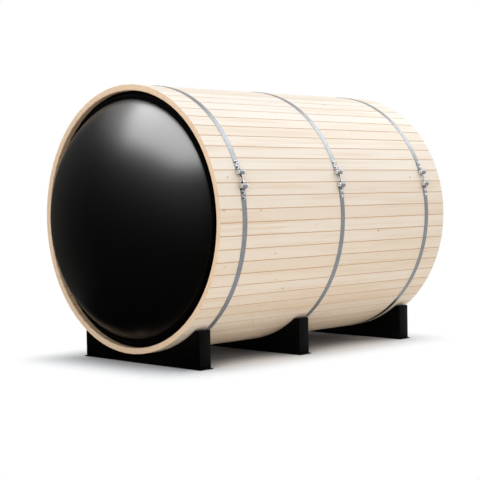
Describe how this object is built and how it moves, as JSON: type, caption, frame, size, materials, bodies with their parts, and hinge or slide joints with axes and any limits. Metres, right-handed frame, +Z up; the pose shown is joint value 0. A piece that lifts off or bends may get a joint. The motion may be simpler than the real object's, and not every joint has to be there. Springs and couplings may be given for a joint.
{
  "type": "barrel sauna",
  "caption": "Pale timber barrel sauna with a glossy black dome window, galvanised hoop bands and black cradles.",
  "frame": {"origin": "centre of the middle cradle's base plate, on the ground under the barrel's axis", "axes": "+Z up, barrel axis along Y with the dome window at -Y and the door at +Y, band tensioners on +X"},
  "size_m": [1.9456, 2.876, 2.0118],
  "materials": {
    "stave_wood": "planed, uncoated",
    "wall_wood": "planed, uncoated",
    "door_wood": "planed, uncoated",
    "dome_acrylic": "gloss",
    "dome_frame_paint": "satin",
    "gasket_rubber": "matte",
    "band_steel": "galvanised",
    "bright_zinc": "bright zinc",
    "cradle_paint": "satin",
    "door_glass": "tinted",
    "hinge_steel": "brushed"
  },
  "bodies": {
    "root": {"staves_1_oclock": "stave_wood", "staves_2_oclock": "stave_wood", "staves_3_oclock": "stave_wood", "staves_4_oclock": "stave_wood", "staves_5_oclock": "stave_wood", "staves_6_oclock": "stave_wood", "staves_7_oclock": "stave_wood", "staves_8_oclock": "stave_wood", "staves_9_oclock": "stave_wood", "staves_10_oclock": "stave_wood", "staves_11_oclock": "stave_wood", "staves_12_oclock": "stave_wood", "dome_window": "dome_acrylic", "dome_clamp_ring": "dome_frame_paint", "dome_gasket": "gasket_rubber", "dome_frame": "dome_frame_paint", "band_front": "band_steel", "band_front_trunnions": "bright_zinc", "band_front_draw_rod": "bright_zinc", "band_front_tail_bolts": "bright_zinc", "band_middle": "band_steel", "band_middle_trunnions": "bright_zinc", "band_middle_draw_rod": "bright_zinc", "band_middle_tail_bolts": "bright_zinc", "band_rear": "band_steel", "band_rear_trunnions": "bright_zinc", "band_rear_draw_rod": "bright_zinc", "band_rear_tail_bolts": "bright_zinc", "cradle_front_saddle": "cradle_paint", "cradle_front_base": "cradle_paint", "cradle_middle_saddle": "cradle_paint", "cradle_middle_base": "cradle_paint", "cradle_rear_saddle": "cradle_paint", "cradle_rear_base": "cradle_paint", "rear_wall_left": "wall_wood", "rear_wall_right": "wall_wood", "rear_wall_over_door": "wall_wood", "rear_wall_under_door": "wall_wood", "door_frame": "door_wood", "door_glass": "door_glass", "door_hinges": "hinge_steel", "door_handle": "door_wood", "door_handle_posts": "hinge_steel"}
  },
  "joints": []
}
